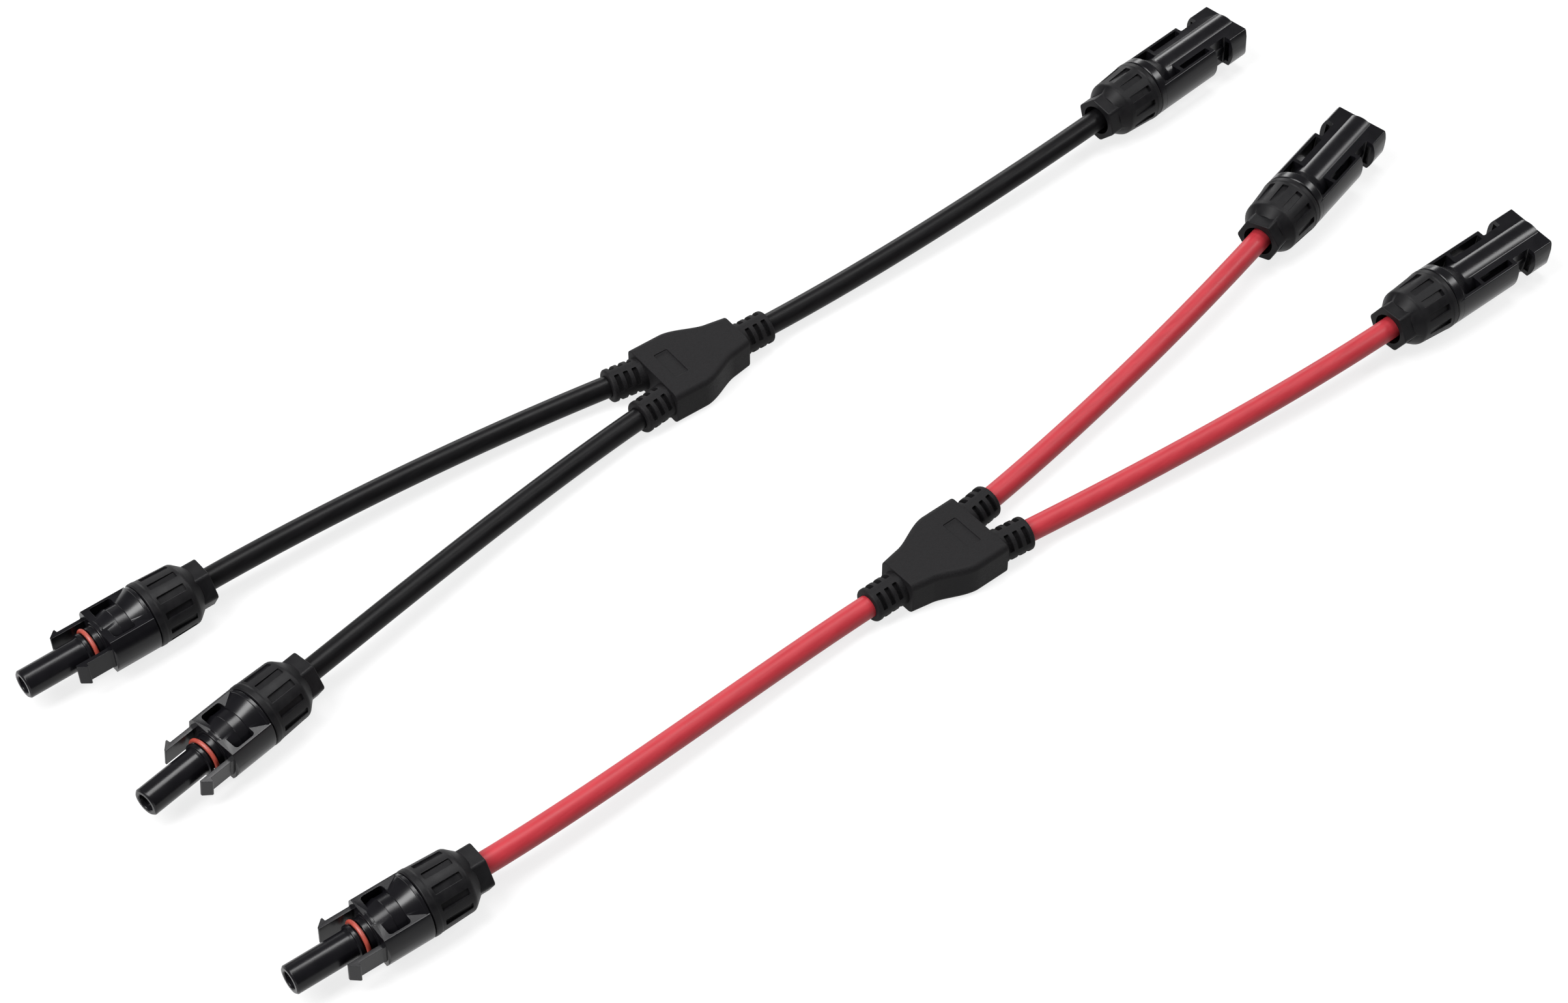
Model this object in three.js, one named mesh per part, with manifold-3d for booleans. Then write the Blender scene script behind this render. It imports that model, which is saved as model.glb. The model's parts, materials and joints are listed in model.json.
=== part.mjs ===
// A pair of solar branch cables: a black one and a red one, lying side by side.
// Each has a moulded Y joint, one single leg and two twin legs. The black single leg
// ends in a socket connector and its twins in latch connectors; the red one is the reverse.
// Millimetres, +X along the cables, +Z up, origin under the middle of the pair.
import * as THREE from "three";
import { mergeVertices } from "three/addons/utils/BufferGeometryUtils.js";
import Module from "manifold-3d";

const wasm = await Module();
wasm.setup();

// ---- Driving dimensions -------------------------------------------------------------

const ROUND = 16; // sides of a turned outer surface
const BORE_SIDES = 12; // sides of a bore and of what sits in it
const CABLE = { radius: 3.2, bore: 2.1, sides: 10, steps: 9 };
const CONDUCTOR = { radius: 1.6, sides: 6, steps: 9 };

// Connector stations, along the connector from the rear face of its cap nut.
const NUT = {
  length: 19.5, hexStart: 0.4, hexEnd: 4.6, hexFlats: 12.2, shoulderEnd: 7.2,
  rearRadius: 8.85, frontRadius: 9.35, lipStart: 17.4,
  cableHole: 4.6, threadBore: 7.75,
  slots: 12, slotWidth: 2.0, slotStart: 8.4, slotEnd: 16.6, slotFloor: 8.35,
};
const GLAND = { spigotStart: 8.0, spigotRadius: 7.3, bore: 6.55, boreEnd: 18.6, bodyStart: 19.8 };
const CAGE = {
  start: 6.8, tipRadius: 5.7, shoulder: 9.5, end: 18.2, outer: 6.2, inner: 5.35, slotEnd: 13.5,
};
const SEAL = { start: 8.6, end: 17.2, inner: 3.55, outer: 5.05 };
const JACKET_END = 18.2; // the cable's jacket stops here, inside the connector
const CONDUCTOR_END = 26.6; // and its bare conductor here, in the contact's crimp

const LATCH = {
  length: 56.2, plateStart: 31.2, plateEnd: 33.3, flat: 5.7, wallRadius: 9.3,
  windowStart: 25, windowEnd: 31.2, windowHalfWidth: 6.7, neckRadius: 6.1,
  noseRadius: 4.0, noseBore: 2.9, mouthRadius: 2.45,
  grooveStart: 35.2, grooveEnd: 37.2, grooveRadius: 4.1,
};
const O_RING = { at: 36.2, ringRadius: 4.85, cordRadius: 0.6 };
const ARM = {
  start: 33.6, end: 43.4, inner: 6.2, outer: 7.5, halfHeight: 3.2,
  barbStart: 40.9, barbCorner: 41.3, barbOuter: 8.6, tip: 6.8,
};
const SOCKET = {
  length: 58.5, collarEnd: 22.6, coneEnd: 27.5, tubeRadius: 5.9, wallRadius: 9.3, flat: 5.0,
  shortWindow: [23.8, 30.2], longWindow: [31.4, 43.2], windowInner: 5.0, windowOuter: 7.0,
  notch: [44.4, 51.2], notchInner: 5.6, armSlot: [6.05, 7.75], armSlotHalfHeight: 3.5,
  mouthRadius: 4.9, mouthStart: 50, boreRadius: 4.3, boreStart: 34,
};
const CONTACT = {
  start: 20.5, crimpBore: 1.95, crimpRadius: 2.6, crimpEnd: 27,
  collar: [27.8, 29.2], collarRadius: 3.2,
};
const CLIP = { start: 29.8, end: 31.4, inner: 2.75, outer: 3.25 };

// Y mould: +x points along the single leg, the twin legs leave the other end.
const MOULD = {
  halfLength: 14.6, halfThickness: 5.5, wideHalf: 11.8, narrowHalf: 6.1, edge: 1.6,
  twinOffset: 6.3, splay: THREE.MathUtils.degToRad(7), cableBore: 3.5,
  singleJacketEnd: 7, twinJacketEnd: 8,
};
const BOOT = {
  length: 10.2, radius: 4.9,
  slotWidth: 1.6, slotPitch: 2.75, slotFirst: 1.7, slotSpan: 5.0, slotFloor: 3.9,
};
const SPLICE = {
  twinFace: -4.5, singleFace: 3.0, twinHalf: 7.0, singleHalf: 2.6, halfThickness: 2.2, clearance: 0.4,
};
const RECESS = { from: -10.4, to: -6.0, halfWidth: 5.2, depth: 0.4 };

// Where things lie: x, y and heading of each connector's rear face and each mould's centre.
// A connector is also rolled about its own axis, and its cap nut is turned on its thread.
const AXIS_HEIGHT = NUT.frontRadius; // a connector rests on its cap nut
const deg = THREE.MathUtils.degToRad;
const CONNECTORS = {
  black_latch_a: { kind: "latch", x: -147.8, y: 78.9, heading: deg(175.3), roll: deg(4), nut: deg(-3) },
  black_latch_b: { kind: "latch", x: -148.4, y: 35.7, heading: deg(-175.3), roll: deg(-8), nut: deg(8) },
  black_socket: { kind: "socket", x: 154.0, y: 38.3, heading: deg(0.3), roll: deg(-3), nut: deg(16) },
  red_latch: { kind: "latch", x: -156.4, y: -42.1, heading: deg(173.7), roll: deg(-3), nut: deg(4) },
  red_socket_a: { kind: "socket", x: 149.5, y: -29.2, heading: deg(10.1), roll: deg(5), nut: deg(-13) },
  red_socket_b: { kind: "socket", x: 148.8, y: -78.0, heading: deg(-3.9), roll: deg(5), nut: deg(-5) },
};
const MOULDS = {
  black: { x: 2.2, y: 50.2, heading: deg(-7) },
  red: { x: -1.1, y: -48.4, heading: deg(176) },
};
// Each leg runs from a boot to a connector as one cubic curve with these end handles.
const HANDLE = 40;
const LEGS = {
  black_single: { mould: "black", boot: "single", connector: "black_socket" },
  black_a: { mould: "black", boot: "right", connector: "black_latch_a" },
  black_b: { mould: "black", boot: "left", connector: "black_latch_b" },
  red_single: { mould: "red", boot: "single", connector: "red_latch" },
  red_a: { mould: "red", boot: "left", connector: "red_socket_a" },
  red_b: { mould: "red", boot: "right", connector: "red_socket_b" },
};

// ---- Materials ----------------------------------------------------------------------

const FINISHES = {
  housing: { color: 0x111113, roughness: 0.3 },
  nut: { color: 0x1c1b1d, roughness: 0.55 },
  mould: { color: 0x201f21, roughness: 0.8 },
  black_jacket: { color: 0x141416, roughness: 0.4 },
  red_jacket: { color: 0xd23c48, roughness: 0.4 },
  o_ring: { color: 0xa8463c, roughness: 0.5 },
  seal: { color: 0x2b2a2c, roughness: 0.85 },
  cage: { color: 0x2a2a2c, roughness: 0.5 },
  contact: { color: 0xc9ccd0, roughness: 0.25, metalness: 1 },
  conductor: { color: 0xb8a28c, roughness: 0.35, metalness: 1 },
};

// ---- Solids from three.js geometries --------------------------------------------------

// Turns a geometry into a manifold solid with its faces pointing out.
function solid(geometry) {
  const bare = geometry.clone();
  bare.deleteAttribute("normal");
  bare.deleteAttribute("uv");
  const welded = mergeVertices(bare, 1e-4);
  const points = welded.attributes.position.array;
  const corners = [];
  let volume = 0;
  for (let i = 0; i < welded.index.count; i += 3) {
    const [a, b, c] = [0, 1, 2].map((k) => welded.index.getX(i + k));
    if (a === b || b === c || c === a) continue;
    corners.push([a, b, c]);
    const [p, q, r] = [a, b, c].map((k) => new THREE.Vector3().fromArray(points, 3 * k));
    volume += p.dot(q.cross(r));
  }
  const outward = corners.map(([a, b, c]) => (volume < 0 ? [a, c, b] : [a, b, c]));
  const mesh = new wasm.Mesh({
    numProp: 3,
    vertProperties: Float32Array.from(points),
    triVerts: Uint32Array.from(outward.flat()),
  });
  return new wasm.Manifold(mesh);
}

// Turned about the x axis from [x, radius] points, closed on the axis or on itself.
function turned(profile, sides = ROUND) {
  const onAxis = profile[0][1] === 0;
  const outline = onAxis ? profile : [...profile, profile[0]];
  const points = outline.map(([x, radius]) => new THREE.Vector2(radius, x));
  const geometry = new THREE.LatheGeometry(points, sides);
  return geometry.rotateZ(-Math.PI / 2);
}

// A turned rod or, with an inner radius, a turned tube.
function rod(from, to, radius, sides = ROUND) {
  return turned([[from, 0], [from, radius], [to, radius], [to, 0]], sides);
}

function box(x, y, z) {
  const size = [x, y, z].map(([low, high]) => high - low);
  const middle = [x, y, z].map(([low, high]) => (high + low) / 2);
  return new THREE.BoxGeometry(...size).translate(...middle);
}

// An outline in the xy plane, extruded from -half to +half in z.
function slab(shape, half, options = {}) {
  const settings = { depth: 2 * half, bevelEnabled: false, curveSegments: 5, ...options };
  return new THREE.ExtrudeGeometry(shape, settings).translate(0, 0, -half);
}

function polygon(points) {
  return new THREE.Shape(points.map(([x, y]) => new THREE.Vector2(x, y)));
}

const join = (first, ...rest) => rest.reduce((whole, piece) => whole.add(piece), first);
const cut = (first, ...rest) => rest.reduce((whole, piece) => whole.subtract(piece), first);

function geometryOf(manifold) {
  const mesh = manifold.getMesh();
  const geometry = new THREE.BufferGeometry();
  const positions = new THREE.BufferAttribute(Float32Array.from(mesh.vertProperties), mesh.numProp);
  geometry.setAttribute("position", positions);
  geometry.setIndex([...mesh.triVerts]);
  return geometry;
}

function addNode(group, name, manifold, finish) {
  const material = new THREE.MeshStandardMaterial(FINISHES[finish]);
  const mesh = new THREE.Mesh(geometryOf(manifold), material);
  mesh.name = name;
  group.add(mesh);
}

// ---- Pieces that every connector has ---------------------------------------------------

function capNut() {
  const hexRadius = NUT.hexFlats / 2 / Math.cos(Math.PI / 6);
  const hex = rod(NUT.hexStart, NUT.hexEnd, hexRadius, 6).rotateX(Math.PI / 6);
  const body = turned([
    [NUT.hexEnd - 0.3, 0], [NUT.hexEnd - 0.3, 6.4], [NUT.shoulderEnd, NUT.rearRadius],
    [NUT.lipStart, NUT.frontRadius - 0.15], [NUT.lipStart, NUT.frontRadius],
    [NUT.length, NUT.frontRadius], [NUT.length, 0],
  ]);
  const cavity = turned([
    [-1, 0], [-1, NUT.cableHole], [4.9, NUT.cableHole], [7.6, 7.0],
    [GLAND.spigotStart, NUT.threadBore], [NUT.length + 1, NUT.threadBore], [NUT.length + 1, 0],
  ], BORE_SIDES);
  const slots = Array.from({ length: NUT.slots }, (_, i) => {
    const half = NUT.slotWidth / 2;
    const slot = box([NUT.slotStart, NUT.slotEnd], [-half, half], [NUT.slotFloor, 10]);
    return solid(slot.rotateX((2 * Math.PI * i) / NUT.slots));
  });
  return cut(join(solid(hex), solid(body)), solid(cavity), ...slots);
}

function clampCage() {
  const ring = turned([
    [CAGE.start, CAGE.inner], [CAGE.start, CAGE.tipRadius], [CAGE.shoulder, CAGE.outer],
    [CAGE.end, CAGE.outer], [CAGE.end, CAGE.inner],
  ], BORE_SIDES);
  const slots = [0, 1, 2].map((i) => {
    const slot = box([CAGE.start - 1, CAGE.slotEnd], [-0.6, 0.6], [-7, 7]);
    return solid(slot.rotateX((Math.PI * i) / 3));
  });
  return cut(solid(ring), ...slots);
}

function cableSeal() {
  const { start, end, inner, outer } = SEAL;
  return solid(turned([[start, inner], [start, outer], [end, outer], [end, inner]], BORE_SIDES));
}

// The rear of both contacts is alike: a crimp barrel and a retaining collar.
function contactRear() {
  const { start, crimpBore, crimpRadius, crimpEnd, collar, collarRadius } = CONTACT;
  return [
    [crimpEnd, 0], [crimpEnd, crimpBore], [start, crimpBore], [start, crimpRadius],
    [collar[0], crimpRadius], [collar[0], collarRadius], [collar[1], collarRadius],
  ];
}

function sleeveContact() {
  const front = [[29.2, 2.5], [54.4, 2.5], [54.4, 2.0], [36, 2.0], [36, 0]];
  return solid(turned([...contactRear(), ...front], BORE_SIDES));
}

function pinContact() {
  const front = [[29.2, 2.4], [33.4, 2.4], [33.4, 1.98], [50.5, 1.98], [52, 1.2], [52, 0]];
  return solid(turned([...contactRear(), ...front], BORE_SIDES));
}

// The bore that takes the gland, the crimped contact and the cable's end.
const glandBore = [
  [GLAND.spigotStart - 1, 0], [GLAND.spigotStart - 1, GLAND.bore],
  [GLAND.boreEnd, GLAND.bore], [GLAND.boreEnd, 3.6],
];

// ---- Latch connector ---------------------------------------------------------------------

function latchHousing() {
  const L = LATCH;
  const bottle = turned([
    [GLAND.spigotStart, 0], [GLAND.spigotStart, GLAND.spigotRadius], [GLAND.bodyStart, GLAND.spigotRadius],
    [GLAND.bodyStart, 8.9], [25.4, L.neckRadius], [28.8, L.neckRadius], [31.8, 5.5], [31.8, 6.1],
    [L.plateEnd, 6.1], [L.plateEnd, 4.95], [L.grooveStart, 4.95], [L.grooveStart, L.grooveRadius],
    [L.grooveEnd, L.grooveRadius], [L.grooveEnd, 4.75], [38.2, 4.75], [38.2, L.noseRadius],
    [L.length - 0.5, L.noseRadius], [L.length, 3.6], [L.length, 0],
  ]);
  const bore = turned([
    ...glandBore, [30, 3.6], [30, L.noseBore], [L.length - 1.2, L.noseBore],
    [L.length - 1.2, L.mouthRadius], [L.length + 1, L.mouthRadius], [L.length + 1, 0],
  ], BORE_SIDES);
  const barrel = solid(rod(GLAND.bodyStart, L.plateEnd, L.wallRadius));
  const flats = solid(box([0, L.length], [-10, 10], [-L.flat, L.flat]));
  const window = box([L.windowStart, L.windowEnd], [-L.windowHalfWidth, L.windowHalfWidth], [-10, 10]);
  const walls = cut(barrel.intersect(flats), solid(window));
  return cut(join(walls, solid(bottle)), solid(bore));
}

// side is +1 for the arm on the connector's left, -1 for the right one.
function latchArm(side) {
  const outline = [
    [ARM.start, ARM.inner], [ARM.end, ARM.inner], [ARM.end, ARM.tip], [ARM.barbCorner, ARM.barbOuter],
    [ARM.barbStart, ARM.barbOuter], [ARM.barbStart, ARM.outer], [ARM.start, ARM.outer],
  ];
  const placed = outline.map(([x, y]) => [x, side * y]);
  return solid(slab(polygon(placed), ARM.halfHeight));
}

function oRing() {
  const { at, ringRadius, cordRadius } = O_RING;
  const ring = new THREE.TorusGeometry(ringRadius, cordRadius, 5, BORE_SIDES);
  return solid(ring.rotateY(Math.PI / 2).translate(at, 0, 0));
}

// ---- Socket connector ----------------------------------------------------------------------

function socketHousing() {
  const S = SOCKET;
  const tube = turned([
    [GLAND.spigotStart, 0], [GLAND.spigotStart, GLAND.spigotRadius], [GLAND.bodyStart, GLAND.spigotRadius],
    [GLAND.bodyStart, S.wallRadius], [S.collarEnd, S.wallRadius], [S.collarEnd, 8.7],
    [S.coneEnd, S.tubeRadius], [S.length, S.tubeRadius], [S.length, 0],
  ]);
  const bore = turned([
    ...glandBore, [S.boreStart, 3.6], [S.boreStart, S.boreRadius], [S.mouthStart, S.boreRadius],
    [S.mouthStart, S.mouthRadius], [S.length + 1, S.mouthRadius], [S.length + 1, 0],
  ], BORE_SIDES);
  const barrel = solid(rod(S.collarEnd - 0.6, S.length, S.wallRadius));
  const flats = solid(box([0, S.length + 1], [-10, 10], [-S.flat, S.flat]));
  const shortWindow = solid(box(S.shortWindow, [-S.windowOuter, S.windowOuter], [-10, 10]));
  const sideCuts = [-1, 1].flatMap((side) => {
    const across = (inner, outer) => [side * inner, side * outer].sort((a, b) => a - b);
    return [
      box(S.longWindow, across(S.windowInner, S.windowOuter), [-10, 10]),
      box(S.notch, across(S.notchInner, 10), [-10, 10]),
      box([S.notch[1] - 1, S.length + 1], across(...S.armSlot), [-S.armSlotHalfHeight, S.armSlotHalfHeight]),
    ].map(solid);
  });
  const walls = cut(barrel.intersect(flats), shortWindow, ...sideCuts);
  return cut(join(walls, solid(tube)), solid(bore));
}

function contactClip() {
  const { start, end, inner, outer } = CLIP;
  return solid(turned([[start, inner], [start, outer], [end, outer], [end, inner]], BORE_SIDES));
}

// ---- Y mould ---------------------------------------------------------------------------------

// The three boots leave the mould at these points and headings, in the mould's own frame.
const BOOTS = {
  single: { x: MOULD.halfLength, y: 0, heading: 0 },
  left: { x: -MOULD.halfLength, y: -MOULD.twinOffset, heading: Math.PI + MOULD.splay },
  right: { x: -MOULD.halfLength, y: MOULD.twinOffset, heading: Math.PI - MOULD.splay },
};

// Moves a geometry made along +x to a boot, at its heading.
function atBoot(geometry, { x, y, heading }) {
  return geometry.rotateZ(heading).translate(x, y, 0);
}

function mouldOutline() {
  const { wideHalf, narrowHalf, edge } = MOULD;
  const [wide, narrow] = [wideHalf - edge, narrowHalf - edge];
  const shape = new THREE.Shape();
  shape.moveTo(-18, wide);
  shape.lineTo(-18, -wide);
  shape.lineTo(-4.5, -wide);
  shape.bezierCurveTo(0, -wide, 5, -narrow - 1.6, 9, -narrow - 1.2);
  shape.lineTo(18, -narrow + 0.4);
  shape.lineTo(18, narrow - 0.4);
  shape.lineTo(9, narrow + 1.2);
  shape.bezierCurveTo(5, narrow + 1.6, 0, wide, -4.5, wide);
  shape.closePath();
  return shape;
}

function yMould() {
  const { halfLength, halfThickness, edge } = MOULD;
  const bevel = { bevelEnabled: true, bevelThickness: edge, bevelSize: edge, bevelSegments: 2 };
  const pill = solid(slab(mouldOutline(), halfThickness - edge, bevel));
  const trim = solid(box([-halfLength, halfLength], [-20, 20], [-10, 10]));
  const boots = [];
  const cuts = [];
  for (const boot of Object.values(BOOTS)) {
    const end = BOOT.length;
    const outline = [
      [-3, 0], [-3, BOOT.radius], [end - 0.6, BOOT.radius], [end, BOOT.radius - 0.6], [end, 0],
    ];
    boots.push(solid(atBoot(turned(outline, BORE_SIDES), boot)));
    cuts.push(solid(atBoot(rod(-10.6, end + 1, MOULD.cableBore, 8), boot)));
    for (let row = 0; row < 3; row += 1) {
      const from = BOOT.slotFirst + row * BOOT.slotPitch;
      for (const turn of [0.25, 0.75, 1.25, 1.75]) {
        const half = BOOT.slotSpan / 2;
        const slot = box([from, from + BOOT.slotWidth], [-half, half], [BOOT.slotFloor, 6]);
        cuts.push(solid(atBoot(slot.rotateX(turn * Math.PI), boot)));
      }
    }
  }
  const { twinFace, singleFace, twinHalf, halfThickness: spliceHalf, clearance } = SPLICE;
  cuts.push(solid(box(
    [twinFace - clearance, singleFace + clearance + 2],
    [-twinHalf - clearance, twinHalf + clearance],
    [-spliceHalf - clearance, spliceHalf + clearance],
  )));
  const { from, to, halfWidth, depth } = RECESS;
  cuts.push(solid(box([from, to], [-halfWidth, halfWidth], [halfThickness - depth, halfThickness + 1])));
  return cut(join(pill.intersect(trim), ...boots), ...cuts);
}

function splice() {
  const { twinFace, singleFace, twinHalf, singleHalf, halfThickness } = SPLICE;
  const outline = [
    [twinFace, -twinHalf], [singleFace, -singleHalf], [singleFace, singleHalf], [twinFace, twinHalf],
  ];
  return solid(slab(polygon(outline), halfThickness));
}

// ---- Cables ------------------------------------------------------------------------------------

// A point given in a connector's or mould's own frame, in the model's frame.
function placed(pose, height, x, y = 0) {
  const point = new THREE.Vector3(x, y, 0).applyAxisAngle(new THREE.Vector3(0, 0, 1), pose.heading);
  return point.add(new THREE.Vector3(pose.x, pose.y, height));
}

// From inside the mould, out of the boot, along the curve and into the connector.
// The straight inner ends differ: the bare conductor reaches further than the jacket.
function legPath(leg, insideMould, insideConnector) {
  const mould = MOULDS[leg.mould];
  const connector = CONNECTORS[leg.connector];
  const boot = BOOTS[leg.boot];
  const alongBoot = (s) => {
    const [x, y] = [boot.x + s * Math.cos(boot.heading), boot.y + s * Math.sin(boot.heading)];
    return placed(mould, MOULD.halfThickness, x, y);
  };
  const alongConnector = (s) => placed(connector, AXIS_HEIGHT, s);
  const curve = new THREE.CubicBezierCurve3(
    alongBoot(BOOT.length), alongBoot(BOOT.length + HANDLE), alongConnector(-HANDLE), alongConnector(0),
  );
  const path = new THREE.CurvePath();
  path.add(new THREE.LineCurve3(alongBoot(-insideMould), alongBoot(BOOT.length)));
  path.add(curve);
  path.add(new THREE.LineCurve3(alongConnector(0), alongConnector(insideConnector)));
  return path;
}

function tubeAlong(path, radius, bore, sides, steps) {
  const section = new THREE.Shape().absarc(0, 0, radius, 0, 2 * Math.PI);
  if (bore > 0) section.holes.push(new THREE.Path().absarc(0, 0, bore, 0, 2 * Math.PI));
  const settings = { steps, extrudePath: path, curveSegments: sides / 2, bevelEnabled: false };
  return solid(new THREE.ExtrudeGeometry(section, settings));
}

function jacket(leg) {
  const jacketEnd = leg.boot === "single" ? MOULD.singleJacketEnd : MOULD.twinJacketEnd;
  const path = legPath(leg, MOULD.halfLength - jacketEnd, JACKET_END);
  return tubeAlong(path, CABLE.radius, CABLE.bore, CABLE.sides, CABLE.steps);
}

// A bare conductor stops just short of the splice, square to its own leg.
function conductor(leg) {
  const { radius, sides, steps } = CONDUCTOR;
  const gap = 0.35;
  const straight = MOULD.halfLength - SPLICE.singleFace - gap;
  const splayed = (MOULD.halfLength + SPLICE.twinFace - gap) / Math.cos(MOULD.splay);
  const inside = leg.boot === "single" ? straight : splayed - radius * Math.tan(MOULD.splay);
  return tubeAlong(legPath(leg, inside, CONDUCTOR_END), radius, 0, sides, steps);
}

// ---- Assembly ------------------------------------------------------------------------------------

const group = new THREE.Group();

function connectorGroup(name, pose) {
  const parts = new THREE.Group();
  parts.position.set(pose.x, pose.y, AXIS_HEIGHT);
  parts.rotation.set(pose.roll, 0, pose.heading, "ZYX");
  if (pose.kind === "latch") {
    addNode(parts, `${name}_housing`, latchHousing(), "housing");
    addNode(parts, `${name}_arm_left`, latchArm(1), "housing");
    addNode(parts, `${name}_arm_right`, latchArm(-1), "housing");
    addNode(parts, `${name}_o_ring`, oRing(), "o_ring");
    addNode(parts, `${name}_sleeve_contact`, sleeveContact(), "contact");
  } else {
    addNode(parts, `${name}_housing`, socketHousing(), "housing");
    addNode(parts, `${name}_pin_contact`, pinContact(), "contact");
    addNode(parts, `${name}_contact_clip`, contactClip(), "contact");
  }
  addNode(parts, `${name}_cable_seal`, cableSeal(), "seal");
  addNode(parts, `${name}_clamp_cage`, clampCage(), "cage");
  addNode(parts, `${name}_cap_nut`, capNut().rotate([THREE.MathUtils.radToDeg(pose.nut), 0, 0]), "nut");
  return parts;
}

for (const [name, pose] of Object.entries(CONNECTORS)) group.add(connectorGroup(name, pose));

for (const [colour, pose] of Object.entries(MOULDS)) {
  const parts = new THREE.Group();
  parts.position.set(pose.x, pose.y, MOULD.halfThickness);
  parts.rotation.z = pose.heading;
  addNode(parts, `${colour}_y_mould`, yMould(), "mould");
  addNode(parts, `${colour}_splice`, splice(), "conductor");
  group.add(parts);
}

for (const [name, leg] of Object.entries(LEGS)) {
  addNode(group, `${name}_cable`, jacket(leg), `${leg.mould}_jacket`);
  addNode(group, `${name}_conductor`, conductor(leg), "conductor");
}

export default group;
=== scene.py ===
# Looks for a pair of solar branch cables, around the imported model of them.
# Each piece is modelled in millimetres in its connector's or mould's own frame (+X forward,
# +Z up), and is then placed in the row frame in metres.
import json
import math

import bmesh
import bpy
from mathutils import Matrix, Vector


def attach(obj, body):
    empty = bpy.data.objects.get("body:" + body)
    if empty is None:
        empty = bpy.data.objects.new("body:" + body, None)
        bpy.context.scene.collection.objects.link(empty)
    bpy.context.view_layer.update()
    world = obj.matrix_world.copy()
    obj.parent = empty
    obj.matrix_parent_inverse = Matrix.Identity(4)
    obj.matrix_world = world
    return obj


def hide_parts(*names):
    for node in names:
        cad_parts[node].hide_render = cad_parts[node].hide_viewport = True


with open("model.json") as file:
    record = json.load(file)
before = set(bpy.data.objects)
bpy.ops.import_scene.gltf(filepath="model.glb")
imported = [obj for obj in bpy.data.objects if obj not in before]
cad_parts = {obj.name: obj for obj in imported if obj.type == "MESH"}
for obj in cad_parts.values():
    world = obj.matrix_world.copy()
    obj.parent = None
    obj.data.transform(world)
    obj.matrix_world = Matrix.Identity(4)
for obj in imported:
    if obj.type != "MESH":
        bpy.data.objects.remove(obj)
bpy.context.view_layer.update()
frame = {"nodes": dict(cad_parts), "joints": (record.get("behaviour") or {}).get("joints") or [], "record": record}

MM = 0.001
JOINTS = {joint["name"]: joint for joint in frame["joints"]}
MOUNTS = {mount["name"]: mount for mount in frame["record"]["mounts"]}

# ---- Driving dimensions, in millimetres --------------------------------------------------

CABLE_RADIUS = 3.2
JACKET_END = 18.2  # the jacket stops here, measured from the rear face of the cap nut
NUT_MIDDLE = 9.75  # the nut's joint is this far from its rear face
HANDLE = 40  # reach of the curve handles at both ends of a leg

NUT = {
    "length": 19.5, "hex_start": 0.4, "hex_end": 4.6, "hex_flats": 12.2, "shoulder": 7.2,
    "front_radius": 9.35, "lip_start": 17.4, "slots": 12, "slot_width": 2.0, "slot_end": 16.6,
    "slot_floor": 8.35, "cable_hole": 4.6, "thread_bore": 7.75,
}
SPIGOT = {"start": 8.0, "end": 19.9, "root": 6.92, "crest": 7.28, "pitch": 1.5, "bore": 6.55}
BORE_END = 18.6  # the gland's wide bore stops here, and a narrow one for the contact goes on
CONTACT_BORE = 3.6
WALL_RADIUS = 9.3
WALL_EDGE = 9.4  # half width of the outlines that trim the side walls, just past their radius
THROUGH = (-10, 10)  # a cut with these ends goes right through a connector
SEAL = {"start": 8.6, "end": 17.2, "inner": 3.55, "outer": 4.75, "rib": 5.05, "ribs": 5, "rib_pitch": 1.6}
CAGE = {"start": 6.8, "end": 18.2, "shoulder": 9.5, "inner": 5.35, "tip": 5.7, "outer": 6.2, "slot_end": 13.5}
O_RING = {"at": 36.2, "ring_radius": 4.85, "cord_radius": 0.6, "sides": 16}
RECESS = {"ends": (-10.4, -6.0), "half_width": 5.2, "depth": 0.4}
MOULD = {
    "half_length": 14.6, "half_thickness": 5.5, "wide": 11.8, "narrow": 6.1, "edge": 1.9,
    "curve_start": -4.5, "curve_end": 9, "twin_offset": 6.3, "splay": math.radians(7),
}
BOOT = {
    "length": 10.2, "radius": 4.9, "slot_width": 1.5, "pitch": 2.75, "first": 1.7, "span": 5.0,
    "floor": 3.55,
}
LATCHES = ("black_latch_a", "black_latch_b", "red_latch")
SOCKETS = ("black_socket", "red_socket_a", "red_socket_b")
MOULD_HEADINGS = {"black": math.radians(-7), "red": math.radians(176)}
# Degrees that each connector is rolled about its own axis, and its cap nut turned on its thread.
ROLLS = {
    "black_latch_a": 4, "black_latch_b": -8, "black_socket": -3,
    "red_latch": -3, "red_socket_a": 5, "red_socket_b": 5,
}
NUT_TURNS = {
    "black_latch_a": -3, "black_latch_b": 8, "black_socket": 16,
    "red_latch": 4, "red_socket_a": -13, "red_socket_b": -5,
}
BOOTS = {
    "single": (MOULD["half_length"], 0, 0),
    "left": (-MOULD["half_length"], -MOULD["twin_offset"], math.pi + MOULD["splay"]),
    "right": (-MOULD["half_length"], MOULD["twin_offset"], math.pi - MOULD["splay"]),
}
# Each leg: its boot, how far it reaches into the mould, its connector and its whole length.
LEGS = {
    "black_single": {"boot": "single", "inside": 7.6, "connector": "black_socket", "length": 163.6},
    "black_a": {"boot": "right", "inside": 6.6, "connector": "black_latch_a", "length": 162.9},
    "black_b": {"boot": "left", "inside": 6.6, "connector": "black_latch_b", "length": 160.7},
    "red_single": {"boot": "single", "inside": 7.6, "connector": "red_latch", "length": 166.8},
    "red_a": {"boot": "left", "inside": 6.6, "connector": "red_socket_a", "length": 161.3},
    "red_b": {"boot": "right", "inside": 6.6, "connector": "red_socket_b", "length": 162.6},
}

SIDES = 72  # facets of a turned surface
FILLET_STEP = math.radians(24)  # turn of an outline between two points of a rounded corner

# ---- Places in the row frame ----------------------------------------------------------------


def about_x(degrees):
    return Matrix.Rotation(math.radians(degrees), 4, "X")


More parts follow.
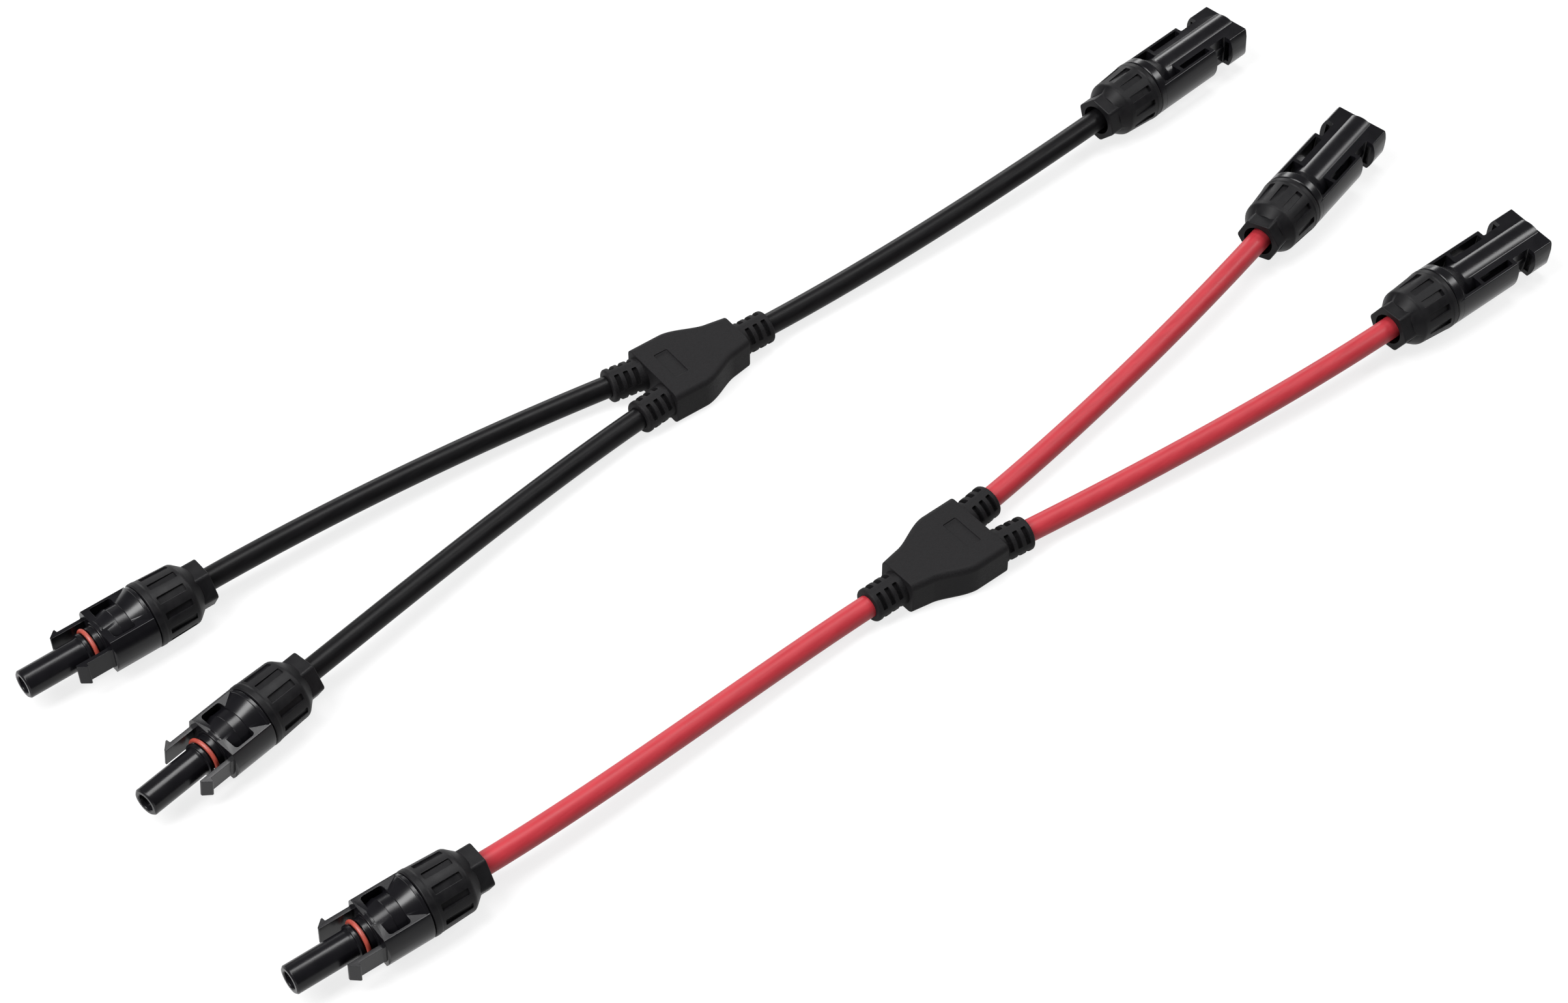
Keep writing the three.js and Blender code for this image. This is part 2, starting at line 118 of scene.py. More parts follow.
def placement(forward, origin):
    """Takes a piece with +X forward and +Z up to its place, in metres."""
    x_axis = Vector(forward).normalized()
    z_axis = Vector((0, 0, 1))
    turn = Matrix((x_axis, z_axis.cross(x_axis), z_axis)).transposed()
    return Matrix.Translation(Vector(origin)) @ turn.to_4x4()


def connector_place(name):
    joint = JOINTS[f"{name}_nut_turn"]
    rearward = Vector(joint["axis"])
    place = placement(-rearward, Vector(joint["pos_m"]) + rearward * NUT_MIDDLE * MM)
    return place @ about_x(ROLLS[name])


def mould_place(colour):
    heading = MOULD_HEADINGS[colour]
    middle = Vector(MOUNTS[f"{colour}_mould_base"]["pos_m"])
    middle.z += MOULD["half_thickness"] * MM
    return placement((math.cos(heading), math.sin(heading), 0), middle)


def boot_place(boot):
    """A boot's place in its mould's frame, in millimetres."""
    x, y, heading = BOOTS[boot]
    return Matrix.Translation((x, y, 0)) @ Matrix.Rotation(heading, 4, "Z")


PLACES = {name: connector_place(name) for name in LATCHES + SOCKETS}
PLACES.update({colour: mould_place(colour) for colour in MOULD_HEADINGS})

# ---- Camera ------------------------------------------------------------------------------------

VIEW_TARGET = Vector((-0.0125, -0.0009, 0))
VIEW_HEADING = math.radians(44)  # from +Y towards +X
VIEW_ELEVATION = math.radians(48)
VIEW_DISTANCE = 1.002
SENSOR_WIDTH = 36  # millimetres, like the lens
LENS = 84.3


def add_camera():
    data = bpy.data.cameras.new("camera")
    data.sensor_fit = "HORIZONTAL"
    data.sensor_width = SENSOR_WIDTH
    data.lens = LENS
    data.clip_start = 0.02
    camera = bpy.data.objects.new("camera", data)
    flat = math.cos(VIEW_ELEVATION)
    level = Vector((math.sin(VIEW_HEADING), math.cos(VIEW_HEADING), 0)) * flat
    sight = level - Vector((0, 0, math.sin(VIEW_ELEVATION)))
    camera.location = VIEW_TARGET - sight * VIEW_DISTANCE
    camera.rotation_euler = sight.to_track_quat("-Z", "Y").to_euler()
    bpy.context.scene.collection.objects.link(camera)
    bpy.context.scene.camera = camera


add_camera()

# ---- Materials ---------------------------------------------------------------------------------


class Shader:
    """A principled material with helpers for procedural detail in object space."""

    def __init__(self, name):
        self.material = bpy.data.materials.new(name)
        self.material.use_nodes = True
        self.nodes = self.material.node_tree.nodes
        self.surface = self.nodes["Principled BSDF"]
        self.place = self.nodes.new("ShaderNodeTexCoord").outputs["Object"]

    def link(self, output, socket):
        self.material.node_tree.links.new(output, socket)

    def set(self, **values):
        for name, value in values.items():
            self.surface.inputs[name.replace("_", " ")].default_value = value
        return self

    def noise(self, scale, detail=4, stretch=None):
        """Noise at so many lumps per metre; stretch scales it along x, y and z."""
        node = self.nodes.new("ShaderNodeTexNoise")
        node.inputs["Scale"].default_value = scale
        node.inputs["Detail"].default_value = detail
        if stretch:
            mapping = self.nodes.new("ShaderNodeMapping")
            mapping.inputs["Scale"].default_value = stretch
            self.link(self.place, mapping.inputs["Vector"])
            self.link(mapping.outputs["Vector"], node.inputs["Vector"])
        else:
            self.link(self.place, node.inputs["Vector"])
        return node.outputs["Fac"]

    def spread(self, value, low, high):
        """Maps noise, which is mostly between 0.3 and 0.7, onto low to high."""
        node = self.nodes.new("ShaderNodeMapRange")
        node.inputs["From Min"].default_value = 0.3
        node.inputs["From Max"].default_value = 0.7
        node.inputs["To Min"].default_value = low
        node.inputs["To Max"].default_value = high
        self.link(value, node.inputs["Value"])
        return node.outputs["Result"]

    def colours(self, value, dark, light):
        node = self.nodes.new("ShaderNodeMix")
        node.data_type = "RGBA"
        node.inputs["A"].default_value = (*dark, 1)
        node.inputs["B"].default_value = (*light, 1)
        self.link(self.spread(value, 0, 1), node.inputs["Factor"])
        self.link(node.outputs["Result"], self.surface.inputs["Base Color"])
        return self

    def roughness(self, value, low, high):
        self.link(self.spread(value, low, high), self.surface.inputs["Roughness"])
        return self

    def bump(self, *layers):
        """Each layer is (noise, height in millimetres)."""
        normal = None
        for value, height in layers:
            node = self.nodes.new("ShaderNodeBump")
            node.inputs["Strength"].default_value = 1
            node.inputs["Distance"].default_value = height * MM
            self.link(value, node.inputs["Height"])
            if normal:
                self.link(normal, node.inputs["Normal"])
            normal = node.outputs["Normal"]
        self.link(normal, self.surface.inputs["Normal"])
        return self


def housing_plastic():
    """Glossy polycarbonate: near black, with faint flow marks."""
    shader = Shader("housing_plastic")
    flow = shader.noise(260, 3)
    shader.colours(flow, (0.0028, 0.0027, 0.0035), (0.0044, 0.0042, 0.0052))
    shader.roughness(flow, 0.235, 0.25)
    return shader.set(Specular_IOR_Level=0.24).material


def nut_plastic():
    """Semi-matte moulded plastic with an eroded grain."""
    shader = Shader("nut_plastic")
    grain = shader.noise(5200, 4)
    patches = shader.noise(420, 3)
    shader.colours(patches, (0.0038, 0.0037, 0.0043), (0.006, 0.0058, 0.0064))
    shader.roughness(patches, 0.4, 0.5)
    shader.bump((patches, 0.012), (grain, 0.0025))
    return shader.set(Specular_IOR_Level=0.12).material


def mould_rubber():
    """Overmoulded rubber with a fine even grain."""
    shader = Shader("mould_rubber")
    grain = shader.noise(2600, 4)
    patches = shader.noise(200, 4)
    shader.colours(grain, (0.0046, 0.0044, 0.0048), (0.0085, 0.0081, 0.0088))
    shader.roughness(grain, 0.5, 0.66)
    shader.bump((patches, 0.03), (grain, 0.03))
    return shader.set(Specular_IOR_Level=0.1).material


def jacket(name, dark, light, rough, gloss):
    """Extruded cable jacket: satin, with marks drawn out along the cable."""
    shader = Shader(name)
    drawn = shader.noise(900, 3, stretch=(0.12, 1, 1))
    shader.colours(drawn, dark, light)
    shader.roughness(drawn, rough - 0.04, rough + 0.04)
    shader.bump((drawn, 0.002))
    return shader.set(Specular_IOR_Level=gloss).material


def soft_rubber(name, dark, light, rough):
    shader = Shader(name)
    fine = shader.noise(3800, 4)
    shader.colours(shader.noise(600, 3), dark, light)
    shader.roughness(fine, rough - 0.08, rough + 0.08)
    shader.bump((fine, 0.01))
    return shader.material


def turned_metal(name, dark, light):
    """Plated metal with fine turning marks round its axis."""
    shader = Shader(name)
    marks = shader.noise(500, 2, stretch=(24, 0.6, 0.6))
    shader.colours(shader.noise(700, 4), dark, light)
    shader.roughness(marks, 0.2, 0.36)
    shader.bump((marks, 0.004))
    return shader.set(Metallic=1.0).material


MATERIALS = {
    "housing_plastic": housing_plastic(),
    "nut_plastic": nut_plastic(),
    "mould_rubber": mould_rubber(),
    "black_jacket": jacket("black_jacket", (0.003, 0.0029, 0.0032), (0.0044, 0.0042, 0.0046), 0.36, 0.09),
    "red_jacket": jacket("red_jacket", (0.27, 0.019, 0.026), (0.31, 0.023, 0.031), 0.42, 0.2),
    "o_ring_rubber": soft_rubber("o_ring_rubber", (0.2, 0.026, 0.016), (0.26, 0.037, 0.023), 0.45),
    "seal_rubber": soft_rubber("seal_rubber", (0.02, 0.02, 0.021), (0.03, 0.03, 0.031), 0.72),
    "cage_plastic": soft_rubber("cage_plastic", (0.018, 0.018, 0.019), (0.026, 0.026, 0.027), 0.5),
    "tinned_contact": turned_metal("tinned_contact", (0.6, 0.61, 0.63), (0.74, 0.75, 0.76)),
    "tinned_copper": turned_metal("tinned_copper", (0.5, 0.36, 0.27), (0.62, 0.47, 0.37)),
}

# ---- Cables --------------------------------------------------------------------------------------


def add_cable(name, leg):
    """One open curve: straight inside the mould and connector, one cubic curve between them."""
    colour = name.split("_")[0]
    boot = PLACES[colour] @ Matrix.Scale(MM, 4) @ boot_place(leg["boot"])
    connector = PLACES[leg["connector"]] @ Matrix.Scale(MM, 4)
    boot_end = BOOT["length"]
    knots = [boot @ Vector((x, 0, 0)) for x in (-leg["inside"], boot_end)]
    knots += [connector @ Vector((x, 0, 0)) for x in (0, JACKET_END)]
    reach = boot @ Vector((boot_end + HANDLE, 0, 0)), connector @ Vector((-HANDLE, 0, 0))

    data = bpy.data.curves.new(f"{name}_jacket", "CURVE")
    data.dimensions = "3D"
    data.resolution_u = 36
    data.bevel_depth = CABLE_RADIUS * MM
    data.bevel_resolution = 8
    data.use_fill_caps = True
    data.materials.append(MATERIALS[f"{colour}_jacket"])
    spline = data.splines.new("BEZIER")
    spline.bezier_points.add(len(knots) - 1)
    for point, place in zip(spline.bezier_points, knots):
        point.handle_left_type = point.handle_right_type = "FREE"
        point.co = point.handle_left = point.handle_right = place
    first, second, third, last = spline.bezier_points
    first.handle_right = first.co.lerp(second.co, 1 / 3)
    second.handle_left = second.co.lerp(first.co, 1 / 3)
    second.handle_right, third.handle_left = reach
    third.handle_right = third.co.lerp(last.co, 1 / 3)
    last.handle_left = last.co.lerp(third.co, 1 / 3)

    cable = bpy.data.objects.new(f"{name}_jacket", data)
    bpy.context.scene.collection.objects.link(cable)
    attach(cable, f"{colour}_branch")
    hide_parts(f"{name}_cable")


for leg_name, leg_facts in LEGS.items():
    add_cable(leg_name, leg_facts)

# ---- Mesh tools, in millimetres ---------------------------------------------------------------------


def mesh_object(points, faces):
    mesh = bpy.data.meshes.new("work")
    mesh.from_pydata(points, [], faces)
    shape = bmesh.new()
    shape.from_mesh(mesh)
    bmesh.ops.recalc_face_normals(shape, faces=shape.faces)
    shape.to_mesh(mesh)
    shape.free()
    piece = bpy.data.objects.new("work", mesh)
    bpy.context.scene.collection.objects.link(piece)
    return piece


def rounded(corners):
    """A closed outline whose corners (x, y, radius) are rounded; a corner (x, y) stays sharp."""
    outline = []
    for index, (x, y, *rest) in enumerate(corners):
        here = Vector((x, y))
        if not rest:
            outline.append((x, y))
            continue
        before = Vector(corners[index - 1][:2]) - here
        after = Vector(corners[(index + 1) % len(corners)][:2]) - here
        half = before.angle(after) / 2
        reach = min(rest[0] / math.tan(half), 0.48 * before.length, 0.48 * after.length)
        inward = (before.normalized() + after.normalized()).normalized()
        centre = here + inward * reach / math.cos(half)
        arm = here + before.normalized() * reach - centre
        sweep = math.pi - 2 * half
        steps = max(2, math.ceil(sweep / FILLET_STEP))
        way = 1 if before.x * after.y - before.y * after.x < 0 else -1
        for step in range(steps + 1):
            spoke = Matrix.Rotation(way * sweep * step / steps, 2) @ arm
            outline.append(tuple(centre + spoke))
    return outline


def lathe(corners, sides=SIDES):
    """Turns a closed outline of (x, radius) corners about the x axis."""
    points, rings, faces = [], [], []
    for x, radius in rounded(corners):
        count = 1 if radius < 1e-6 else sides
        rings.append([len(points) + k for k in range(count)])
        for k in range(count):
            turn = 2 * math.pi * k / sides
            points.append((x, radius * math.cos(turn), radius * math.sin(turn)))
    for ring, following in zip(rings, rings[1:] + rings[:1]):
        if len(ring) == len(following) == 1:
            continue
        for k in range(sides):
            corner = [ring[k % len(ring)], ring[(k + 1) % len(ring)]]
            corner += [following[(k + 1) % len(following)], following[k % len(following)]]
            faces.append(list(dict.fromkeys(corner)))
    return mesh_object(points, faces)


def prism(corners, low, high, axis):
    """An outline drawn across the axis ("x": y and z; "z": x and y) and drawn out along it."""
    outline = rounded(corners)
    count = len(outline)
    points = []
    for level in (low, high):
        points += [(level, u, v) if axis == "x" else (u, v, level) for u, v in outline]
    faces = [list(range(count)), list(range(count, 2 * count))]
    for k in range(count):
        following = (k + 1) % count
        faces.append([k, following, count + following, count + k])
    return mesh_object(points, faces)


def block(x, y, z, corner=0):
    """A box from (low, high) along each axis, its upright edges rounded where a corner is given."""
    ends = [(x[0], y[0]), (x[1], y[0]), (x[1], y[1]), (x[0], y[1])]
    return prism([(*end, corner) if corner else end for end in ends], *z, "z")


def turned_by(piece, matrix):
    piece.data.transform(matrix)
    return piece


def apply_modifiers(piece):
    graph = bpy.context.evaluated_depsgraph_get()
    mesh = bpy.data.meshes.new_from_object(piece.evaluated_get(graph), depsgraph=graph)
    piece.modifiers.clear()
    piece.data = mesh
    return piece


def combine(piece, operation, *tools):
    for tool in tools:
        modifier = piece.modifiers.new("combine", "BOOLEAN")
        modifier.operation = operation
        modifier.solver = "MANIFOLD"
        modifier.object = tool
    apply_modifiers(piece)
    for tool in tools:
        bpy.data.objects.remove(tool)
    return piece


def soften(piece, width, angle=50, segments=2):
    """Rounds the edges that are sharper than the angle, in degrees."""
    modifier = piece.modifiers.new("soften", "BEVEL")
    modifier.width = width
    modifier.segments = segments
    modifier.limit_method = "ANGLE"
    modifier.angle_limit = math.radians(angle)
    return apply_modifiers(piece)


def finished(piece, sharp=42):
    """Smooth shading that keeps flat faces flat, with the mesh in metres."""
    mesh = piece.data
    mesh.shade_smooth()
    mesh.set_sharp_from_angle(angle=math.radians(sharp))
    modifier = piece.modifiers.new("normals", "WEIGHTED_NORMAL")
    modifier.keep_sharp = True
    apply_modifiers(piece)
    piece.data.transform(Matrix.Scale(MM, 4))
    mesh = piece.data
    bpy.data.objects.remove(piece)
    return mesh


def add_piece(mesh, node, place, body, slot):
    """Puts a finished mesh where a CAD node is, in that node's stead."""
    mesh.materials.clear()
    mesh.materials.append(MATERIALS[slot])
    piece = bpy.data.objects.new(f"{node}_look", mesh)
    bpy.context.scene.collection.objects.link(piece)
    piece.matrix_world = place
    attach(piece, body)
    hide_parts(node)
    return piece


def barrel_section(radius, flat, corner):
    """A round section cut flat above and below, as (y, z) corners."""
    reach = math.asin(flat / radius)
    steps = 9
    corners = []
    for side in (0, math.pi):
        for step in range(steps + 1):
            turn = side + reach * (2 * step / steps - 1)
            end = (corner,) if step in (0, steps) else ()
            corners.append((radius * math.cos(turn), radius * math.sin(turn), *end))
    return corners


# ---- What every connector has --------------------------------------------------------------------


def threaded_spigot():
    """The rear end of a housing, with the thread that the cap nut runs on."""
    start, end, pitch = SPIGOT["start"], SPIGOT["end"], SPIGOT["pitch"]
    step = pitch / 8
    count = round((end - start) / step)
    points, faces = [(start, 0, 0), (end, 0, 0)], []
    for ring in range(count + 1):
        x = start + (end - start) * ring / count
        fade = min(1, max(0, (x - start) / 1.0), max(0, (end - 2.2 - x) / 0.8))
        for k in range(SIDES):
            phase = (x / pitch - k / SIDES) % 1
            ridge = min(1, max(0, 3.2 * (0.5 - abs(phase - 0.5)) - 0.35))
            radius = SPIGOT["root"] + (SPIGOT["crest"] - SPIGOT["root"]) * ridge * fade
            turn = 2 * math.pi * k / SIDES
            points.append((x, radius * math.cos(turn), radius * math.sin(turn)))
    for k in range(SIDES):
        following = (k + 1) % SIDES
        last = 2 + count * SIDES
        faces.append([0, 2 + following, 2 + k])
        faces.append([1, last + k, last + following])
        for ring in range(count):
            low = 2 + ring * SIDES
            faces.append([low + k, low + following, low + SIDES + following, low + SIDES + k])
    return mesh_object(points, faces)


def cap_nut(rear_radius, slot_start):
    """Hexagon, shoulder, slotted barrel and smooth lip; the bore is open at both ends."""
    front, hex_end, end = NUT["front_radius"], NUT["hex_end"], NUT["length"]
    hole, thread = NUT["cable_hole"], NUT["thread_bore"]
    body = lathe([
        (hex_end - 0.4, 0), (hex_end - 0.4, 6.35), (NUT["shoulder"], rear_radius, 1.6),
        (NUT["lip_start"], front - 0.12, 1.0), (NUT["lip_start"] + 0.5, front, 0.6),
        (end, front, 0.45), (end, 0),
    ], sides=96)
    reach = NUT["hex_flats"] / math.sqrt(3)
    turns = [math.radians(60 * k) for k in range(6)]
    corners = [(reach * math.cos(turn), reach * math.sin(turn), 1.3) for turn in turns]
    hexagon = prism(corners, NUT["hex_start"], hex_end + 1.1, "x")
    half = NUT["slot_width"] / 2
    slots = []
    for k in range(NUT["slots"]):
        slot = block((slot_start, NUT["slot_end"]), (-half, half), (NUT["slot_floor"], 11), 0.25)
        slots.append(turned_by(slot, about_x(360 * k / NUT["slots"])))
    cavity = lathe([
        (-1, 0), (-1, hole), (1.2, hole, 0.2), (1.9, hole - 0.3, 0.3), (4.9, hole - 0.3, 0.4),
        (7.6, 7.0), (SPIGOT["start"], thread), (end - 0.5, thread), (end + 0.1, thread + 0.5),
        (end + 1, thread + 0.5), (end + 1, 0),
    ])
    combine(body, "DIFFERENCE", *slots)
    soften(body, 0.13, angle=48)
    soften(hexagon, 0.3, angle=40, segments=3)
    combine(body, "UNION", hexagon)
    return finished(combine(body, "DIFFERENCE", cavity), sharp=36)


def clamp_cage():
    """A tapered sleeve slit into six fingers, which press the seal on the cable."""
    start, end, inner, outer = CAGE["start"], CAGE["end"], CAGE["inner"], CAGE["outer"]
    cage = lathe([
        (start, inner, 0.1), (start, CAGE["tip"], 0.2), (CAGE["shoulder"], outer, 0.4),
        (end, outer, 0.2), (end, inner, 0.1),
    ])
    slots = [
        turned_by(block((start - 1, CAGE["slot_end"]), (-0.6, 0.6), (-7, 7), 0.3), about_x(60 * k))
        for k in range(3)
    ]
    return finished(soften(combine(cage, "DIFFERENCE", *slots), 0.08))


def cable_seal():
    """A rubber sleeve with shallow ribs round the outside."""
    start, end, inner, outer = SEAL["start"], SEAL["end"], SEAL["inner"], SEAL["outer"]
    ribs = []
    for k in range(SEAL["ribs"]):
        foot = start + 0.3 + SEAL["rib_pitch"] * k
        ribs += [(foot, outer, 0.2), (foot + 0.4, SEAL["rib"], 0.2)]
        ribs += [(foot + 0.9, SEAL["rib"], 0.2), (foot + 1.3, outer, 0.2)]
    return finished(lathe([
        (start, inner, 0.2), (start, outer, 0.2), *ribs, (end, outer, 0.2), (end, inner, 0.2),
    ]))


def contact_rear():
    """The crimp barrel and collar of a contact, as the first corners of its outline."""
    return [
        (27, 0), (27, 1.95), (20.5, 1.95, 0.1), (20.5, 2.6, 0.2), (27.8, 2.6, 0.2), (27.8, 3.2, 0.2),
        (29.2, 3.2, 0.2),
    ]


def sleeve_contact():
    """The socket half of the contact pair, slit twice so that it springs."""
    sleeve = lathe([
        *contact_rear(), (29.2, 2.5, 0.2), (54.4, 2.5, 0.3), (54.4, 2.0, 0.1), (36, 2.0), (36, 0),
    ])
    slits = [block((44, 56), (-0.25, 0.25), (-4, 4)), block((44, 56), (-4, 4), (-0.25, 0.25))]
    return finished(combine(sleeve, "DIFFERENCE", *slits))


def pin_contact():
    """A solid 4 mm pin with a rounded tip."""
    return finished(lathe([
        *contact_rear(), (29.2, 2.4, 0.2), (33.4, 2.4, 0.3), (33.4, 1.98, 0.2), (50.5, 1.98, 0.6),
        (52, 1.2, 0.8), (52, 0),
    ]))


def contact_clip():
    """The flared ring that keeps a pin from sliding back."""
    return finished(lathe([(29.8, 2.75, 0.1), (29.8, 3.0, 0.1), (31.4, 3.25, 0.1), (31.4, 2.95, 0.1)]))


def housing_bore(front):
    """The stepped bore from the gland to the nose or mouth; front is its forward part."""
    return lathe([
        (SPIGOT["start"] - 1, 0), (SPIGOT["start"] - 1, SPIGOT["bore"] + 0.2),
        (SPIGOT["start"] + 0.3, SPIGOT["bore"]), (BORE_END, SPIGOT["bore"]), (BORE_END, CONTACT_BORE),
        *front,
    ])


# ---- Latch connector -----------------------------------------------------------------------------


def latch_housing():
    """Bottle-shaped body with a nose tube, two side walls and a front plate that joins them."""
    bottle = lathe([
        (SPIGOT["end"] - 0.4, 0), (SPIGOT["end"] - 0.4, 8.7, 0.1), (19.9, 9.0, 0.15), (20.7, 9.0, 0.15),
        (20.85, 8.75, 0.05), (24.9, 7.0, 0.3), (25.05, 6.75, 0.05), (28.1, 6.75, 0.05),
        (28.25, 6.95, 0.1), (32.0, 6.0, 0.2), (32.05, 5.85), (32.4, 5.85), (32.45, 6.0, 0.08),
        (32.7, 6.0, 0.08), (32.75, 5.85), (33.1, 5.8, 0.1), (33.55, 5.75, 0.2),
        (33.55, 4.95, 0.3), (35.2, 4.95, 0.15), (35.2, 4.1, 0.1), (37.2, 4.1, 0.1), (37.2, 4.75, 0.15),
        (38.2, 4.75, 0.2), (38.3, 4.15, 0.15), (39.0, 4.0, 0.3), (55.75, 4.0, 0.15),
        (56.2, 3.55, 0.12), (56.2, 0),
    ])
    bore = housing_bore([
        (30, CONTACT_BORE), (30, 2.9), (54.7, 2.9, 0.1), (55.0, 2.45, 0.1), (55.9, 2.45, 0.15),
        (56.25, 2.8), (57, 2.8), (57, 0),
    ])
    walls = prism(barrel_section(WALL_RADIUS, 5.5, 0.35), 19.9, 33.3, "x")
    plan = prism([
        (19.9, -WALL_EDGE), (32.6, -WALL_EDGE, 0.5), (33.3, -8.6, 0.3),
        (33.3, 8.6, 0.3), (32.6, WALL_EDGE, 0.5), (19.9, WALL_EDGE),
    ], *THROUGH, "z")
    window = block((24.8, 31.2), (-6.7, 6.7), THROUGH, 0.9)
    combine(walls, "INTERSECT", plan)
    soften(combine(walls, "DIFFERENCE", window), 0.16)
    combine(walls, "UNION", bottle, threaded_spigot())
    return finished(combine(walls, "DIFFERENCE", bore))


def latch_arm(side):
    """A springy arm with an arrowhead barb; side is +1 on the connector's left."""
    outline = [
        (32.9, 6.2), (43.4, 6.2, 0.15), (43.4, 6.8, 0.25), (41.3, 8.6, 0.25), (40.9, 8.6, 0.12),
        (40.75, 7.5, 0.2), (34.0, 7.5, 0.5), (33.2, 7.8), (32.9, 7.8),
    ]
    arm = prism([(x, side * y, *radius) for x, y, *radius in outline], -3.2, 3.2, "z")
    return finished(soften(arm, 0.14))


def o_ring():
    """A ring of round section, which seals the nose against its mate."""
    thick, turns = O_RING["cord_radius"], [2 * math.pi * k / O_RING["sides"] for k in range(O_RING["sides"])]
    ring = [(O_RING["at"] + thick * math.cos(a), O_RING["ring_radius"] + thick * math.sin(a)) for a in turns]
    return finished(lathe(ring), sharp=60)


# ---- Socket connector ----------------------------------------------------------------------------


def socket_housing():
    """Tube and collar between two side walls, with windows, notches and front ears."""
    tube = lathe([
        (SPIGOT["end"] - 0.4, 0), (SPIGOT["end"] - 0.4, 8.7, 0.1), (19.9, 9.27, 0.25), (22.5, 9.27, 0.3),
        (22.6, 8.65, 0.05), (23.2, 8.5, 0.3), (27.4, 5.9, 2.0), (57.9, 5.9, 0.25),
        (58.5, 5.35, 0.2), (58.5, 0),
    ])
    bore = housing_bore([
        (34, CONTACT_BORE), (34, 4.3), (50, 4.3, 0.2), (50.4, 4.9, 0.2), (58.0, 4.9, 0.1),
        (58.55, 5.2), (60, 5.2), (60, 0),
    ])
    walls = prism(barrel_section(WALL_RADIUS, 4.95, 0.35), 21.8, 58.5, "x")
    side = [
        (21.8, -WALL_EDGE), (44.4, -WALL_EDGE, 0.45), (44.4, -5.6, 0.4), (51.2, -5.6, 0.4),
        (51.2, -WALL_EDGE, 0.45), (58.5, -WALL_EDGE, 1.9),
    ]
    plan = prism(side + [(x, -y, *rest) for x, y, *rest in reversed(side)], *THROUGH, "z")
    combine(walls, "INTERSECT", plan)
    openings = [block((23.8, 30.2), (-7.0, 7.0), THROUGH, 0.35)]
    for way in (-1, 1):
        window = sorted((way * 5.0, way * 7.0))
        openings.append(block((31.4, 43.2), window, THROUGH, 0.35))
        arm_slot = sorted((way * 6.05, way * 7.75))
        openings.append(block((50.2, 60), arm_slot, (-3.5, 3.5)))
    soften(combine(walls, "DIFFERENCE", *openings), 0.18)
    combine(walls, "UNION", tube, threaded_spigot())
    return finished(combine(walls, "DIFFERENCE", bore))


# ---- Y mould -------------------------------------------------------------------------------------


def mould_side():
    """The mould's side as (x, half width): wide at the twin end, an S-curve, then narrow."""
    half_length, wide, narrow = MOULD["half_length"], MOULD["wide"], MOULD["narrow"]
    start, end = MOULD["curve_start"], MOULD["curve_end"]
    handles = (start, wide), (0, wide), (5, narrow + 1.6), (end, narrow + 1.2)
    side = [(-half_length + (half_length + start) * k / 8, wide) for k in range(8)]
    for k in range(33):
        t = k / 32
        weights = (1 - t) ** 3, 3 * t * (1 - t) ** 2, 3 * t * t * (1 - t), t ** 3
        side.append(tuple(sum(w * handle[axis] for w, handle in zip(weights, handles)) for axis in (0, 1)))
    side += [(end + (half_length - end) * k / 8, narrow + 1.2 - k / 8) for k in range(1, 9)]
    return side


def mould_body():
    """A flat block lofted along x, its long edges round and its ends cut square."""
    half, edge = MOULD["half_thickness"], MOULD["edge"]
    arc = [math.pi / 2 * k / 6 for k in range(7)]
    points, faces = [], []
    side = mould_side()
    for x, width in side:
        quarter = [(width - edge + edge * math.cos(a), half - edge + edge * math.sin(a)) for a in arc]
        ring = quarter + [(-y, z) for y, z in reversed(quarter)]
        ring += [(-y, -z) for y, z in quarter] + [(y, -z) for y, z in reversed(quarter)]
        points += [(x, y, z) for y, z in ring]
    count = len(points) // len(side)
    last = len(points) - count
    faces.append(list(range(count)))
    faces.append([last + k for k in range(count)])
    for station in range(len(side) - 1):
        low = station * count
        for k in range(count):
            following = (k + 1) % count
            faces.append([low + k, low + following, low + count + following, low + count + k])
    return mesh_object(points, faces)


def boot():
    """A strain relief with three rows of slots on its four diagonals, pointing along +x."""
    radius, end = BOOT["radius"], BOOT["length"]
    sleeve = lathe([(-3, 0), (-3, radius), (end, radius, 1.1), (end, CABLE_RADIUS + 0.25, 0.3), (end, 0)])
    half = BOOT["span"] / 2
    slots = []
    for row in range(3):
        start = BOOT["first"] + row * BOOT["pitch"]
        for quarter in range(4):
            slot = block((start, start + BOOT["slot_width"]), (-half, half), (BOOT["floor"], 7), 0.3)
            slots.append(turned_by(slot, about_x(90 * quarter + 45)))
    return soften(combine(sleeve, "DIFFERENCE", *slots), 0.22, angle=48)


def y_mould():
    """The mould with its label recess, its three boots and a bore through each of them."""
    body = mould_body()
    across = (-RECESS["half_width"], RECESS["half_width"])
    recess = block(RECESS["ends"], across, (MOULD["half_thickness"] - RECESS["depth"], 9), 0.3)
    combine(body, "DIFFERENCE", recess)
    soften(body, 0.2, angle=48)
    combine(body, "UNION", *[turned_by(boot(), boot_place(name)) for name in BOOTS])
    bores = []
    for name in BOOTS:
        bore = lathe([(-9, 0), (-9, CABLE_RADIUS + 0.05), (12, CABLE_RADIUS + 0.05), (12, 0)], sides=48)
        bores.append(turned_by(bore, boot_place(name)))
    return finished(combine(body, "DIFFERENCE", *bores))


# ---- Assembly --------------------------------------------------------------------------------------


